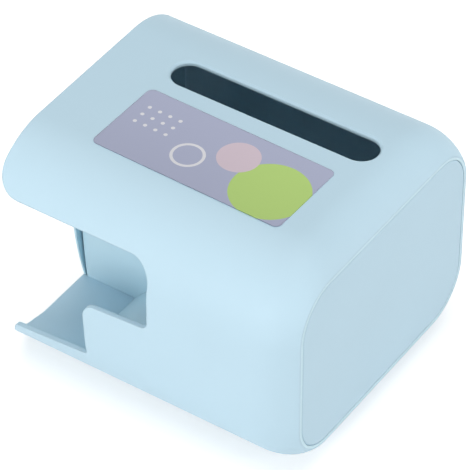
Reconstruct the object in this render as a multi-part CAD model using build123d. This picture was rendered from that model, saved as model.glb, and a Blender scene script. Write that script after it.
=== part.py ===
from build123d import *
import os
from math import cos, radians, sin, tan

# Tissue box organizer: a moulded sleeve with a tissue slot in its roof, an open bay for a phone or a remote
# control at its front left, a plug-in end cap on the right and a tissue drawer that slides out to the left.
# Millimetres. X runs along the length with the open end at -X, the front is at -Y, Z is up, and the origin
# is the middle of the base.

# Sleeve
LENGTH = 200.0
DEPTH = 192.0
HEIGHT = 150.0
WALL = 3.0
CORNER_RADIUS = 50.0

# Right end of the sleeve, which turns in to a rim round the end cap
END_LENGTH = 25.0
END_TURN_DEGREES = 50.0
END_TURN_SHARES = (0.0, 0.2, 0.4, 0.6, 0.8, 1.0)
RIM_INSET_DEPTH = 11.0
RIM_INSET_HEIGHT = 15.0
RIM_FACE = 2.5
RIM_RADIUS = 29.0
LEDGE_WIDTH = 2.5
LEDGE_THICKNESS = 2.5

# End cap
CAP_PROUD = 0.8
CAP_THICKNESS = 3.0
CAP_GAP = 0.3
CAP_BEVEL = 0.7
SKIRT_DEPTH = 6.0
SKIRT_WALL = 2.0

# Tissue slot
SLOT_LEFT_MARGIN = 39.0
SLOT_END_MARGIN = 0.5
SLOT_WIDTH = 21.4
SLOT_OFFSET_SHARE = 0.63
SLOT_BEVEL = 1.2
SLOT_BEVEL_DEGREES = 45.0

# Window in the front wall, measured from the left end and from the base
WINDOW_LENGTH = 106.6
WINDOW_TOP = 124.5
WINDOW_RADIUS = 14.0
WINDOW_FOOT_RADIUS = 5.0
FLAP_RADIUS = 16.0
TAB_START = 62.5
TAB_LEAN = 2.0
TAB_TOP = 77.0
TAB_RISE = 3.0
TAB_RADIUS = 9.0
TAB_FOOT_RADIUS = 3.0
LIP_FOOT = 5.0
LIP_LEFT = 33.5
LIP_RIGHT = 38.5
LIP_SETBACK = 13.0
LIP_TIP_RADIUS = 4.0

# Divider: the back wall of the bay, which bulges a little to the front, and the ramp at the bay's right end
BAY_DEPTH = 85.0
DIVIDER_WALL = 2.5
DIVIDER_BULGE = 5.0
DIVIDER_END_GAP = 2.0
DIVIDER_LEAN = 2.5
RAMP_FOOT = 37.0
RAMP_DEGREES = 48.5
SEAT_GAP = 0.3

# Drawer
FRONT_THICKNESS = 2.0
FRONT_REVEAL = 0.8
FRONT_BEVEL = 0.6
GRIP_BULGE = 10.0
DRAWER_GAP = 0.5
TRAY_END_GAP = 10.5
TRAY_HEIGHT = 58.0
TRAY_WALL = 2.0
TRAY_ROUNDING = 6.0

# Label
LABEL_LENGTH = 125.0
LABEL_WIDTH = 56.0
LABEL_THICKNESS = 0.2
LABEL_FROM_LEFT = 101.0
LABEL_FROM_FRONT = 73.0
LABEL_TURN_DEGREES = -1.3
LABEL_RADIUS = 4.0

# How far a cutting body runs past what it cuts
OVERRUN = 5.0

LEFT = -LENGTH / 2
RIGHT = LENGTH / 2
FRONT = -DEPTH / 2
MIDDLE = HEIGHT / 2
ROOF = HEIGHT - WALL
END_START = RIGHT - END_LENGTH
INNER_DEPTH = DEPTH - 2 * WALL
INNER_HEIGHT = HEIGHT - 2 * WALL
INNER_RADIUS = CORNER_RADIUS - WALL
RIM_DEPTH = DEPTH - 2 * RIM_INSET_DEPTH
RIM_HEIGHT = HEIGHT - 2 * RIM_INSET_HEIGHT
SEAT_DEPTH = RIM_DEPTH - 2 * RIM_FACE
SEAT_HEIGHT = RIM_HEIGHT - 2 * RIM_FACE
SEAT_RADIUS = RIM_RADIUS - RIM_FACE
HOLE_DEPTH = SEAT_DEPTH - 2 * LEDGE_WIDTH
HOLE_HEIGHT = SEAT_HEIGHT - 2 * LEDGE_WIDTH
HOLE_RADIUS = SEAT_RADIUS - LEDGE_WIDTH
RIM_X = RIGHT - CAP_PROUD
SEAT_X = RIGHT - CAP_THICKNESS
LEDGE_X = SEAT_X - LEDGE_THICKNESS
DIVIDER_FACE = FRONT + BAY_DEPTH
DIVIDER_BACK = DIVIDER_FACE + DIVIDER_WALL
UPRIGHT = Plane(origin=(0, FRONT, 0), x_dir=(1, 0, 0), z_dir=(0, -1, 0))


def section(x, depth, height, radius):
    """Rounded rectangle across the sleeve at one place along its length."""
    return Plane.YZ.offset(x) * Pos(0, MIDDLE) * RectangleRounded(depth, height, radius)


def inner_section(x, inset):
    """The sleeve's inside at x, taken in all round."""
    return section(x, INNER_DEPTH - 2 * inset, INNER_HEIGHT - 2 * inset, INNER_RADIUS - inset)


def prism(x, length, depth, height, radius):
    """Straight bar with a rounded section, from x towards the right."""
    return extrude(section(x, depth, height, radius), length)


def turned_end(stop, wide, narrow):
    """Loft from the sleeve's own section at the start of the right end to a narrower one at stop."""
    turn = radians(END_TURN_DEGREES)
    sections = []
    for share in END_TURN_SHARES:
        along = sin(turn * share) / sin(turn)
        inward = (1 - cos(turn * share)) / (1 - cos(turn))
        sizes = [a + (b - a) * inward for a, b in zip(wide, narrow)]
        sections.append(section(END_START + (stop - END_START) * along, *sizes))
    return loft(sections)


def outer_body():
    wide = (DEPTH, HEIGHT, CORNER_RADIUS)
    narrow = (RIM_DEPTH, RIM_HEIGHT, RIM_RADIUS)
    return prism(LEFT, END_START - LEFT, *wide) + turned_end(RIM_X, wide, narrow)


def cavity():
    """Everything that is hollow inside the sleeve, with the seat and the hole for the end cap."""
    wide = (INNER_DEPTH, INNER_HEIGHT, INNER_RADIUS)
    narrow = (HOLE_DEPTH, HOLE_HEIGHT, HOLE_RADIUS)
    hollow = prism(LEFT - OVERRUN, END_START - LEFT + OVERRUN, *wide)
    hollow += turned_end(LEDGE_X, wide, narrow)
    hollow += prism(LEDGE_X, RIGHT - LEDGE_X + OVERRUN, *narrow)
    return hollow + prism(SEAT_X, RIGHT - SEAT_X + OVERRUN, SEAT_DEPTH, SEAT_HEIGHT, SEAT_RADIUS)


def window():
    """The opening in the front wall: above the tab, down to the lip on its left and open at the left end."""
    tab, right = LEFT + TAB_START, LEFT + WINDOW_LENGTH
    outside, flap_top = LEFT - OVERRUN, WINDOW_TOP + FLAP_RADIUS + OVERRUN
    rounded = {
        (LEFT + LIP_SETBACK, LIP_LEFT): LIP_TIP_RADIUS,
        (tab + TAB_LEAN, LIP_RIGHT): TAB_FOOT_RADIUS,
        (tab, TAB_TOP): TAB_RADIUS,
        (right, TAB_TOP + TAB_RISE): WINDOW_FOOT_RADIUS,
        (right, WINDOW_TOP): WINDOW_RADIUS,
        (LEFT, WINDOW_TOP): FLAP_RADIUS,
    }
    corners = [(outside, LIP_FOOT), (LEFT, LIP_FOOT), *rounded, (LEFT, flap_top), (outside, flap_top)]
    outline = make_face(Polyline(*corners, close=True))
    for corner, radius in rounded.items():
        outline = fillet(outline.vertices().sort_by_distance((*corner, 0))[0], radius)
    return Pos(0, -OVERRUN, 0) * extrude(UPRIGHT * outline, -(CORNER_RADIUS + OVERRUN))


def slot():
    """The tissue slot through the roof, with a bevelled mouth."""
    left, right = LEFT + SLOT_LEFT_MARGIN, END_START - SLOT_END_MARGIN
    middle = Pos((left + right) / 2, (DEPTH / 2 - CORNER_RADIUS) * SLOT_OFFSET_SHARE)
    hole = extrude(Pos(0, 0, ROOF - OVERRUN) * SlotOverall(right - left, SLOT_WIDTH), WALL + 2 * OVERRUN)
    flare = SLOT_BEVEL * tan(radians(SLOT_BEVEL_DEGREES))
    mouth = Pos(0, 0, HEIGHT) * SlotOverall(right - left + 2 * flare, SLOT_WIDTH + 2 * flare)
    return middle * (hole + extrude(mouth, -SLOT_BEVEL, taper=SLOT_BEVEL_DEGREES))


def sleeve():
    return outer_body() - cavity() - slot() - window()


def end_cap():
    """Panel on the rim's ledge, standing a little proud, with a skirt that plugs into the hole."""
    plate = prism(SEAT_X, CAP_THICKNESS, SEAT_DEPTH - 2 * CAP_GAP, SEAT_HEIGHT - 2 * CAP_GAP,
                  SEAT_RADIUS - CAP_GAP)
    plate = chamfer(plate.faces().sort_by(Axis.X)[-1].edges(), CAP_BEVEL)
    sizes = (HOLE_DEPTH - 2 * CAP_GAP, HOLE_HEIGHT - 2 * CAP_GAP, HOLE_RADIUS - CAP_GAP)
    inside = (sizes[0] - 2 * SKIRT_WALL, sizes[1] - 2 * SKIRT_WALL, sizes[2] - SKIRT_WALL)
    start = SEAT_X - SKIRT_DEPTH
    return plate + (prism(start, SKIRT_DEPTH, *sizes) - prism(start, SKIRT_DEPTH, *inside))


def bowed(face, bulge, bottom, top, back):
    """Area across the sleeve from a front line that bows towards the front to a straight line at back."""
    bow = ThreePointArc((face, bottom), (face - bulge, (bottom + top) / 2), (face, top))
    rest = Polyline((face, top), (back, top), (back, bottom), (face, bottom))
    return make_face([bow, rest])


def bay_divider():
    """The bay's back wall, whose left edge leans away from the drawer's front, with its ramp."""
    start = LEFT + FRONT_THICKNESS + FRONT_REVEAL
    stop = END_START - DIVIDER_END_GAP
    block = bowed(DIVIDER_FACE, DIVIDER_BULGE, WALL, ROOF, DEPTH / 2)
    wall = extrude(Plane.YZ.offset(start) * (block - Pos(DIVIDER_WALL, 0) * block), stop - start)
    side = Polyline((start, 0), (RIGHT, 0), (RIGHT, HEIGHT), (start + DIVIDER_LEAN, HEIGHT), close=True)
    wall &= extrude(UPRIGHT * make_face(side), -DEPTH)
    slope = tan(radians(RAMP_DEGREES))
    across, run = DIVIDER_WALL / sin(radians(RAMP_DEGREES)), HEIGHT / slope
    foot = LEFT + RAMP_FOOT - WALL / slope
    corners = [(foot, 0), (foot + across, 0), (foot + across + run, HEIGHT), (foot + run, HEIGHT)]
    ramp = extrude(UPRIGHT * make_face(Polyline(*corners, close=True)), -(BAY_DEPTH + DIVIDER_WALL))
    front = Plane.YZ.offset(LEFT) * bowed(DIVIDER_FACE, DIVIDER_BULGE, WALL, ROOF, FRONT)
    return wall + (ramp & extrude(inner_section(LEFT, SEAT_GAP) & front, LENGTH))


def behind(x, front, top):
    """Area across the sleeve behind the line y = front and below the line z = top."""
    return Plane.YZ.offset(x) * Pos(front, 0) * Rectangle(DEPTH, top, align=(Align.MIN, Align.MIN))


def drawer_tray():
    """Low open tray that follows the sleeve's inside behind the divider."""
    x, front = LEFT + FRONT_THICKNESS, DIVIDER_BACK + DRAWER_GAP
    length = END_START - TRAY_END_GAP - x
    block = extrude(inner_section(x, DRAWER_GAP) & behind(x, front, WALL + TRAY_HEIGHT), length)
    block = fillet(block.edges().filter_by(Axis.X).group_by(Axis.Y)[0].sort_by(Axis.Z)[0], TRAY_ROUNDING)
    x += TRAY_WALL
    hollow = extrude(inner_section(x, DRAWER_GAP + TRAY_WALL) & behind(x, front + TRAY_WALL, HEIGHT),
                     length - 2 * TRAY_WALL)
    hollow = fillet(hollow.edges().filter_by(Axis.X).group_by(Axis.Y)[0].sort_by(Axis.Z)[0],
                    TRAY_ROUNDING - TRAY_WALL)
    return block - hollow


def drawer_front():
    """Full-height panel across the drawer's end. Its front edge bows past the divider as a finger grip."""
    grip = bowed(DIVIDER_FACE, GRIP_BULGE, WALL, ROOF, DEPTH / 2)
    panel = extrude(inner_section(LEFT, DRAWER_GAP) & (Plane.YZ.offset(LEFT) * grip), FRONT_THICKNESS)
    return chamfer(panel.faces().sort_by(Axis.X)[0].edges(), FRONT_BEVEL)


def label():
    sheet = RectangleRounded(LABEL_LENGTH, LABEL_WIDTH, LABEL_RADIUS)
    place = Pos(LEFT + LABEL_FROM_LEFT, FRONT + LABEL_FROM_FRONT, HEIGHT) * Rot(0, 0, LABEL_TURN_DEGREES)
    return extrude(place * sheet, LABEL_THICKNESS)


NODES = {
    "sleeve": sleeve,
    "end_cap": end_cap,
    "bay_divider": bay_divider,
    "drawer_tray": drawer_tray,
    "drawer_front": drawer_front,
    "label": label,
}

os.makedirs("parts", exist_ok=True)
for name, make in NODES.items():
    export_step(make(), f"parts/{name}.step")
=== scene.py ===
import math

import bmesh
import bpy
from mathutils import Matrix, Vector


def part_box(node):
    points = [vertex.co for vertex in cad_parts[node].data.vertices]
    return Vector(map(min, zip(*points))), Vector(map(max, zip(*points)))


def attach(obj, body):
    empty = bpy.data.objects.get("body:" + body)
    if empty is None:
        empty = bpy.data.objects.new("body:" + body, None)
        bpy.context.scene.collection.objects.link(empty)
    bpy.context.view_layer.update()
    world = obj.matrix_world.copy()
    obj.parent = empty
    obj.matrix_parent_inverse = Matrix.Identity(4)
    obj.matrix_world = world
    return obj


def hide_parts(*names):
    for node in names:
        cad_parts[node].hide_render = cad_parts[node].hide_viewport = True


# Looks of the tissue box organizer, in metres, in the part's own frame: moulded plastic, a printed label,
# a pale floor, soft studio light and the camera.

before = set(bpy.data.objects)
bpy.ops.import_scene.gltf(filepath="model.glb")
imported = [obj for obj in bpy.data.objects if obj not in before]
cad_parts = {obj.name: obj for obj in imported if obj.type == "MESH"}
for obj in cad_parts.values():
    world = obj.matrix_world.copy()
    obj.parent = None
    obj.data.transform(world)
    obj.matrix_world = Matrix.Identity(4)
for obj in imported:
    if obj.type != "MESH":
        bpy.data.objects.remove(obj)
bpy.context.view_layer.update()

# Moulded plastic: linear colours, soft clouds in the tone, fine grain, and edges rounded in the shading
SHELL_BLUE = (0.57, 0.770, 0.885)
# A lighter copy of the shell's blue for the parts inside the bay: painted light that lifts the shade there
INNER_PAINTED_LIGHT_BLUE = (0.60, 0.810, 0.905)
SHELL_ROUGHNESS = 0.45
INNER_ROUGHNESS = 0.5
PLASTIC_SHEEN = 0.2
CLOUD_SCALE = 18
CLOUD_DETAIL = 3
CLOUD_SHARE = 0.02
GRAIN_SCALE = 1400
GRAIN_DETAIL = 2
GRAIN_ROUGHNESS = 0.08
GRAIN_STRENGTH = 0.25
GRAIN_DEPTH = 0.00005
EDGE_ROUNDING = 0.0010
EDGE_SAMPLES = 6
PANEL_EDGE_ROUNDING = 0.00005

# Painted highlight, a pale line on the rim round the end panel: the rim's depth below the cap's face, the
# depth over which the colour changes, the line's reach outside the cap, and its corner radius
RIM_HIGHLIGHT_BLUE = (0.685, 0.90, 0.99)
RIM_DROP = 0.0008
RIM_FADE = 0.0002
RIM_LINE = 0.0019
RIM_LINE_CORNER = 0.0281

# Label print: linear inks, and discs as centre, radius and ink in the label's own plane.
# The fade gives places across the label and their brightness.
LAVENDER = (0.42, 0.45, 0.60)
LIME = (0.47, 0.67, 0.20)
PALE_PINK = (0.66, 0.55, 0.62)
OFF_WHITE = (0.76, 0.76, 0.80)
LABEL_DISCS = (
    ((0.042, -0.006), 0.0230, LIME),
    ((0.012, 0.0075), 0.0125, PALE_PINK),
    ((-0.012, -0.0070), 0.0100, OFF_WHITE),
    ((-0.012, -0.0070), 0.0082, LAVENDER),
)
DOT_START = -0.053
DOT_PITCH = 0.007
DOT_COLUMNS = 4
DOT_ROWS = 3
DOT_RADIUS = 0.0012
LABEL_TURN = math.radians(-1.3)
LABEL_FADE = ((-0.028, 0.95), (0.028, 1.06))
LABEL_ROUGHNESS = 0.34
LABEL_SHEEN = 0.3

# End panel: the cap with a rounded edge that nearly closes its seam, and a slightly crowned face whose rings
# give width and rise
PANEL_GROWTH = 0.0002
PANEL_CORNER = 0.0264
PANEL_CORNER_STEPS = 14
PANEL_THICKNESS = 0.0030
PANEL_ROUNDING = 0.0011
PANEL_ROUNDING_STEPS = 5
PANEL_CROWN = ((0.0005, 0.00001), (0.010, 0.00029), (0.013, 0.0003))
PANEL_SLACK = 0.00005
SKIRT_INSET = 0.0026
SKIRT_WALL = 0.0020
SKIRT_DEPTH = 0.0060
SMOOTH_ANGLE = math.radians(35)

# Camera, at the photograph's place
IMAGE_SIDE = 470
FOCAL_PIXELS = 3454.3
SENSOR = 36.0
CAMERA_PLACE = Vector((0.81266, -1.20591, 1.37149))
CAMERA_AZIMUTH = -0.593
CAMERA_DIP = 0.728

# Light: a dome that is bright near the horizon and overhead, as between studio screens, and two soft lamps.
# Stops give degrees above the horizon and strength, and lamps give place and watts.
SKY_STOPS = ((10, 0.60), (32, 0.20), (57, 0.20), (72, 2.55))
SKY_PEAK = 2.6
LAMP_SIDE = 1.0
LAMPS = {"front_lamp": ((-0.20, -2.1, 0.55), 18.5), "side_lamp": ((2.0, 0.75, 0.55), 12.0)}
FLOOR_SIDE = 12.0
FLOOR_DROP = 0.0004
FLOOR_WHITE = 0.8
FLOOR_GLOW = 0.5


class Graph:
    """A node tree, with short ways to add and join nodes."""

    def __init__(self, tree):
        self.tree = tree

    def add(self, kind, values=None, **settings):
        node = self.tree.nodes.new(kind)
        for key, value in settings.items():
            setattr(node, key, value)
        for socket, value in (values or {}).items():
            node.inputs[socket].default_value = value
        return node

    def join(self, source, target):
        self.tree.links.new(source, target)

    def finish(self, shader):
        output = self.add("ShaderNodeOutputMaterial")
        self.join(shader.outputs[0], output.inputs["Surface"])


def new_material(name):
    material = bpy.data.materials.new(name)
    material.use_nodes = True
    material.node_tree.nodes.clear()
    return material


def group_tree(name, inputs, outputs):
    tree = bpy.data.node_groups.new(name, "ShaderNodeTree")
    for label, kind, value in inputs:
        socket = tree.interface.new_socket(label, in_out="INPUT", socket_type=kind)
        socket.default_value = value
    for label, kind in outputs:
        tree.interface.new_socket(label, in_out="OUTPUT", socket_type=kind)
    return tree


def moulded_grain():
    """Shared node group: the tone, roughness, fine grain and soft edges of moulded plastic."""
    graph = Graph(group_tree(
        "moulded_grain",
        [
            ("Colour", "NodeSocketColor", (*SHELL_BLUE, 1)),
            ("Roughness", "NodeSocketFloat", SHELL_ROUGHNESS),
            ("Edge radius", "NodeSocketFloat", EDGE_ROUNDING),
        ],
        [("Colour", "NodeSocketColor"), ("Roughness", "NodeSocketFloat"), ("Normal", "NodeSocketVector")],
    ))
    start, end = graph.add("NodeGroupInput"), graph.add("NodeGroupOutput")
    place = graph.add("ShaderNodeTexCoord")
    cloud = graph.add("ShaderNodeTexNoise", {"Scale": CLOUD_SCALE, "Detail": CLOUD_DETAIL})
    grain = graph.add("ShaderNodeTexNoise", {"Scale": GRAIN_SCALE, "Detail": GRAIN_DETAIL})
    for noise in (cloud, grain):
        graph.join(place.outputs["Object"], noise.inputs["Vector"])
    tone = graph.add("ShaderNodeMapRange", {"To Min": 1 - CLOUD_SHARE, "To Max": 1 + CLOUD_SHARE})
    graph.join(cloud.outputs["Fac"], tone.inputs["Value"])
    toned = graph.add("ShaderNodeVectorMath", operation="SCALE")
    graph.join(start.outputs["Colour"], toned.inputs[0])
    graph.join(tone.outputs["Result"], toned.inputs["Scale"])
    graph.join(toned.outputs[0], end.inputs["Colour"])
    rough = graph.add("ShaderNodeMath", {1: GRAIN_ROUGHNESS}, operation="MULTIPLY_ADD")
    graph.join(grain.outputs["Fac"], rough.inputs[0])
    graph.join(start.outputs["Roughness"], rough.inputs[2])
    graph.join(rough.outputs[0], end.inputs["Roughness"])
    soft_edge = graph.add("ShaderNodeBevel", samples=EDGE_SAMPLES)
    graph.join(start.outputs["Edge radius"], soft_edge.inputs["Radius"])
    bump = graph.add("ShaderNodeBump", {"Strength": GRAIN_STRENGTH, "Distance": GRAIN_DEPTH})
    graph.join(soft_edge.outputs["Normal"], bump.inputs["Normal"])
    graph.join(grain.outputs["Fac"], bump.inputs["Height"])
    graph.join(bump.outputs["Normal"], end.inputs["Normal"])
    return graph.tree


def rounded_patch():
    """Shared node group: 1 inside a rounded rectangle in the point's X and Y, and 0 outside it."""
    graph = Graph(group_tree(
        "rounded_patch",
        [
            ("Point", "NodeSocketVector", (0, 0, 0)),
            ("Centre", "NodeSocketVector", (0, 0, 0)),
            ("Half size", "NodeSocketVector", (0.01, 0.01, 1)),
            ("Radius", "NodeSocketFloat", 0.002),
        ],
        [("Mask", "NodeSocketFloat")],
    ))
    start, end = graph.add("NodeGroupInput"), graph.add("NodeGroupOutput")

    def vector(operation, *sources):
        node = graph.add("ShaderNodeVectorMath", operation=operation)
        for source, target in zip(sources, node.inputs):
            graph.join(source, target)
        return node

    spread = graph.add("ShaderNodeCombineXYZ")
    for axis in "XY":
        graph.join(start.outputs["Radius"], spread.inputs[axis])
    offset = vector("SUBTRACT", start.outputs["Point"], start.outputs["Centre"])
    away = vector("ABSOLUTE", offset.outputs[0])
    past = vector("SUBTRACT", away.outputs[0], start.outputs["Half size"])
    grown = vector("ADD", past.outputs[0], spread.outputs[0])
    outside = vector("MAXIMUM", grown.outputs[0])
    far = vector("LENGTH", outside.outputs[0])
    mask = graph.add("ShaderNodeMath", operation="LESS_THAN")
    graph.join(far.outputs["Value"], mask.inputs[0])
    graph.join(start.outputs["Radius"], mask.inputs[1])
    graph.join(mask.outputs[0], end.inputs["Mask"])
    return graph.tree


def patch_mask(graph, patch, point, centre, half_size, radius):
    values = {"Centre": (*centre, 0), "Half size": (*half_size, 1), "Radius": radius}
    mask = graph.add("ShaderNodeGroup", values, node_tree=patch)
    graph.join(point, mask.inputs["Point"])
    return mask.outputs["Mask"]


def coat(graph, grain, roughness, sheen, edge_radius=EDGE_ROUNDING):
    """Ends a material with the moulded grain and its shader, and gives back the socket for the colour."""
    look = graph.add("ShaderNodeGroup", node_tree=grain)
    look.inputs["Roughness"].default_value = roughness
    look.inputs["Edge radius"].default_value = edge_radius
    shader = graph.add("ShaderNodeBsdfPrincipled", {"Specular IOR Level": sheen})
    for source, target in {"Colour": "Base Color", "Roughness": "Roughness", "Normal": "Normal"}.items():
        graph.join(look.outputs[source], shader.inputs[target])
    graph.finish(shader)
    return look.inputs["Colour"]


def moulded_plastic(name, colour, roughness, grain, edge_radius=EDGE_ROUNDING):
    material = new_material(name)
    socket = coat(Graph(material.node_tree), grain, roughness, PLASTIC_SHEEN, edge_radius)
    socket.default_value = (*colour, 1)
    return material


def shell_plastic(grain, patch):
    """The shell's plastic, with a painted highlight: paler on the rim's inner edge round the end panel."""
    low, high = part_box("end_cap")
    middle, half = (low + high) / 2, (high - low) / 2
    material = new_material("shell_plastic")
    graph = Graph(material.node_tree)
    place = graph.add("ShaderNodeTexCoord")
    parts = graph.add("ShaderNodeSeparateXYZ")
    plane = graph.add("ShaderNodeCombineXYZ")
    graph.join(place.outputs["Object"], parts.inputs[0])
    graph.join(parts.outputs["Y"], plane.inputs[0])
    graph.join(parts.outputs["Z"], plane.inputs[1])
    reach = (half.y + RIM_LINE, half.z + RIM_LINE)
    highlight_patch = patch_mask(graph, patch, plane.outputs[0], (middle.y, middle.z), reach, RIM_LINE_CORNER)
    rim = high.x - RIM_DROP
    share = graph.add("ShaderNodeMapRange", {"From Min": rim - 2 * RIM_FADE, "From Max": rim - RIM_FADE})
    graph.join(parts.outputs["X"], share.inputs["Value"])
    graph.join(highlight_patch, share.inputs["To Max"])
    # painted highlight: the rim's pale line is mixed into the shell's blue
    colour = graph.add("ShaderNodeMix", {"A": (*SHELL_BLUE, 1), "B": (*RIM_HIGHLIGHT_BLUE, 1)}, data_type="RGBA")
    graph.join(share.outputs["Result"], colour.inputs["Factor"])
    graph.join(colour.outputs["Result"], coat(graph, grain, SHELL_ROUGHNESS, PLASTIC_SHEEN))
    return material


def label_print(grain, patch):
    """Printed film: two discs, a ring and a grid of dots on a lavender field that is lighter at the back."""
    low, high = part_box("label")
    middle = (low + high) / 2
    material = new_material("label_print")
    graph = Graph(material.node_tree)
    place = graph.add("ShaderNodeTexCoord")
    turn = {"Location": (middle.x, middle.y, 0), "Rotation": (0, 0, LABEL_TURN)}
    turned = graph.add("ShaderNodeMapping", turn, vector_type="TEXTURE")
    graph.join(place.outputs["Object"], turned.inputs["Vector"])
    discs = list(LABEL_DISCS)
    for column in range(DOT_COLUMNS):
        for row in range(DOT_ROWS):
            discs.append(((DOT_START + DOT_PITCH * column, DOT_PITCH * row), DOT_RADIUS, OFF_WHITE))
    layer = None
    for centre, radius, ink in discs:
        mix = graph.add("ShaderNodeMix", {"A": (*LAVENDER, 1), "B": (*ink, 1)}, data_type="RGBA")
        mask = patch_mask(graph, patch, turned.outputs[0], centre, (radius, radius), radius)
        graph.join(mask, mix.inputs["Factor"])
        if layer is not None:
            graph.join(layer, mix.inputs["A"])
        layer = mix.outputs["Result"]
    parts = graph.add("ShaderNodeSeparateXYZ")
    graph.join(turned.outputs[0], parts.inputs[0])
    (front, dark), (back, light) = LABEL_FADE
    limits = {"From Min": front, "From Max": back, "To Min": dark, "To Max": light}
    fade = graph.add("ShaderNodeMapRange", limits)
    graph.join(parts.outputs["Y"], fade.inputs["Value"])
    faded = graph.add("ShaderNodeVectorMath", operation="SCALE")
    graph.join(layer, faded.inputs[0])
    graph.join(fade.outputs["Result"], faded.inputs["Scale"])
    graph.join(faded.outputs[0], coat(graph, grain, LABEL_ROUGHNESS, LABEL_SHEEN))
    return material


def shown_rays(graph):
    """1 for camera, glossy and transmission rays, and 0 for all others."""
    path = graph.add("ShaderNodeLightPath")
    seen = path.outputs["Is Camera Ray"]
    for ray in ("Is Glossy Ray", "Is Transmission Ray"):
        either = graph.add("ShaderNodeMath", operation="MAXIMUM")
        graph.join(seen, either.inputs[0])
        graph.join(path.outputs[ray], either.inputs[1])
        seen = either.outputs[0]
    return seen


def floor_paint():
    """White floor that shows the object's shadow."""
    material = new_material("floor_paint")
    graph = Graph(material.node_tree)
    diffuse = graph.add("ShaderNodeBsdfDiffuse", {"Color": (FLOOR_WHITE, FLOOR_WHITE, FLOOR_WHITE, 1)})
    strength = graph.add("ShaderNodeMath", {1: FLOOR_GLOW}, operation="MULTIPLY")
    glow = graph.add("ShaderNodeEmission")
    both = graph.add("ShaderNodeAddShader")
    graph.join(shown_rays(graph), strength.inputs[0])
    graph.join(strength.outputs[0], glow.inputs["Strength"])
    graph.join(diffuse.outputs[0], both.inputs[0])
    graph.join(glow.outputs[0], both.inputs[1])
    graph.finish(both)
    return material


def paint(node, material):
    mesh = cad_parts[node].data
    mesh.materials.clear()
    mesh.materials.append(material)


def seat_plate(low, high):
    """Mesh of one flat rounded rectangle on the cap's seat, facing the right end."""
    middle, size = (low + high) / 2, high - low
    bm = bmesh.new()
    bmesh.ops.create_grid(bm, x_segments=1, y_segments=1, size=0.5)
    bmesh.ops.scale(bm, vec=(size.z + 2 * PANEL_GROWTH, size.y + 2 * PANEL_GROWTH, 1), verts=bm.verts)
    bmesh.ops.rotate(bm, matrix=Matrix.Rotation(math.radians(90), 3, "Y"), verts=bm.verts)
    bmesh.ops.translate(bm, vec=(high.x - PANEL_THICKNESS, middle.y, middle.z), verts=bm.verts)
    bmesh.ops.bevel(bm, geom=bm.verts[:], offset=PANEL_CORNER, offset_type="OFFSET", profile=0.5,
                    segments=PANEL_CORNER_STEPS, affect="VERTICES", material=-1)
    return bm


def pull_out(bm, faces, travel):
    """Draws the faces out along X, and gives back the new ones."""
    grown = bmesh.ops.extrude_face_region(bm, geom=faces)["geom"]
    corners = [item for item in grown if isinstance(item, bmesh.types.BMVert)]
    bmesh.ops.translate(bm, vec=(travel, 0, 0), verts=corners)
    return [item for item in grown if isinstance(item, bmesh.types.BMFace)]


def inset(bm, faces, width, rise=0):
    ring = bmesh.ops.inset_region(bm, faces=faces, thickness=width, depth=rise, use_even_offset=True)
    return ring["faces"]


def panel_rings():
    """Width and rise of each ring, from the panel's side wall to the middle of its face."""
    turns = [math.radians(90 * step / PANEL_ROUNDING_STEPS) for step in range(PANEL_ROUNDING_STEPS + 1)]
    for start, stop in zip(turns, turns[1:]):
        width = PANEL_ROUNDING * (math.cos(start) - math.cos(stop))
        yield width, PANEL_ROUNDING * (math.sin(stop) - math.sin(start))
    yield from PANEL_CROWN


def end_panel(material):
    """The panel, built up from the cap's seat: side wall, rounded edge, crowned face, and a skirt behind."""
    bm = seat_plate(*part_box("end_cap"))
    rings = list(panel_rings())
    back = bm.faces[:]
    front = pull_out(bm, back, PANEL_THICKNESS - PANEL_SLACK - sum(rise for width, rise in rings))
    bmesh.ops.recalc_face_normals(bm, faces=bm.faces)
    for width, rise in rings:
        inset(bm, front, width, rise)
    inset(bm, back, SKIRT_INSET)
    skirt = inset(bm, back, SKIRT_WALL)
    pull_out(bm, skirt, -SKIRT_DEPTH)
    bmesh.ops.delete(bm, geom=skirt, context="FACES_ONLY")
    mesh = bpy.data.meshes.new("end_panel")
    bm.to_mesh(mesh)
    bm.free()
    mesh.shade_smooth()
    mesh.set_sharp_from_angle(angle=SMOOTH_ANGLE)
    mesh.materials.append(material)
    panel = bpy.data.objects.new("end_panel", mesh)
    bpy.context.scene.collection.objects.link(panel)
    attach(panel, "housing")
    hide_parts("end_cap")


def make_floor():
    bpy.ops.mesh.primitive_plane_add(size=FLOOR_SIDE, location=(0, 0, -FLOOR_DROP))
    floor = bpy.context.object
    floor.name = "floor"
    floor.data.materials.append(floor_paint())


def make_lamp(name, place, power):
    lamp = bpy.data.lights.new(name, "AREA")
    lamp.size = LAMP_SIDE
    lamp.energy = power
    stand = bpy.data.objects.new(name, lamp)
    stand.location = place
    stand.rotation_euler = (-stand.location).to_track_quat("-Z", "Y").to_euler()
    bpy.context.scene.collection.objects.link(stand)


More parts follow.
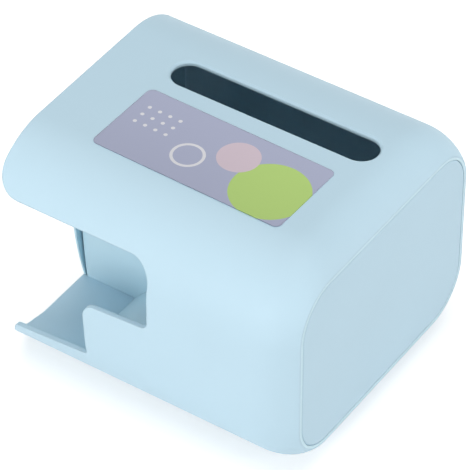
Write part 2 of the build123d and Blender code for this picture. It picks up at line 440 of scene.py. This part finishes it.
def make_sky():
    """Soft white light that changes with height, shown to the camera as plain white."""
    world = bpy.data.worlds.new("studio")
    bpy.context.scene.world = world
    world.use_nodes = True
    graph = Graph(world.node_tree)
    sky = world.node_tree.nodes["Background"]
    sky.inputs["Color"].default_value = (1, 1, 1, 1)
    place, parts = graph.add("ShaderNodeTexCoord"), graph.add("ShaderNodeSeparateXYZ")
    graph.join(place.outputs["Generated"], parts.inputs[0])
    ramp = graph.add("ShaderNodeValToRGB")
    while len(ramp.color_ramp.elements) < len(SKY_STOPS):
        ramp.color_ramp.elements.new(1)
    for stop, (degrees, strength) in zip(ramp.color_ramp.elements, SKY_STOPS):
        share = strength / SKY_PEAK
        stop.position = math.sin(math.radians(degrees))
        stop.color = (share, share, share, 1)
    graph.join(parts.outputs["Z"], ramp.inputs["Fac"])
    light = graph.add("ShaderNodeMath", {1: SKY_PEAK}, operation="MULTIPLY")
    graph.join(ramp.outputs["Color"], light.inputs[0])
    shown = graph.add("ShaderNodeMix", {"B": 1})
    graph.join(shown_rays(graph), shown.inputs["Factor"])
    graph.join(light.outputs[0], shown.inputs["A"])
    graph.join(shown.outputs["Result"], sky.inputs["Strength"])


def make_camera():
    data = bpy.data.cameras.new("camera")
    data.sensor_width = SENSOR
    data.lens = FOCAL_PIXELS * SENSOR / IMAGE_SIDE
    camera = bpy.data.objects.new("camera", data)
    ahead = Vector((
        math.sin(CAMERA_AZIMUTH) * math.cos(CAMERA_DIP),
        math.cos(CAMERA_AZIMUTH) * math.cos(CAMERA_DIP),
        -math.sin(CAMERA_DIP),
    ))
    camera.location = CAMERA_PLACE
    camera.rotation_euler = ahead.to_track_quat("-Z", "Y").to_euler()
    bpy.context.scene.collection.objects.link(camera)
    bpy.context.scene.camera = camera


grain = moulded_grain()
patch = rounded_patch()
shell = shell_plastic(grain, patch)
# the bay's parts take the lighter blue, painted light for their shade
inner = moulded_plastic("inner_plastic", INNER_PAINTED_LIGHT_BLUE, INNER_ROUGHNESS, grain)
for node, material in {
    "sleeve": shell,
    "end_cap": shell,
    "bay_divider": inner,
    "drawer_front": inner,
    "drawer_tray": inner,
    "label": label_print(grain, patch),
}.items():
    paint(node, material)
end_panel(moulded_plastic("panel_plastic", SHELL_BLUE, SHELL_ROUGHNESS, grain, PANEL_EDGE_ROUNDING))

make_floor()
for name, (place, power) in LAMPS.items():
    make_lamp(name, place, power)
make_sky()
make_camera()
bpy.context.scene.view_settings.view_transform = "Standard"
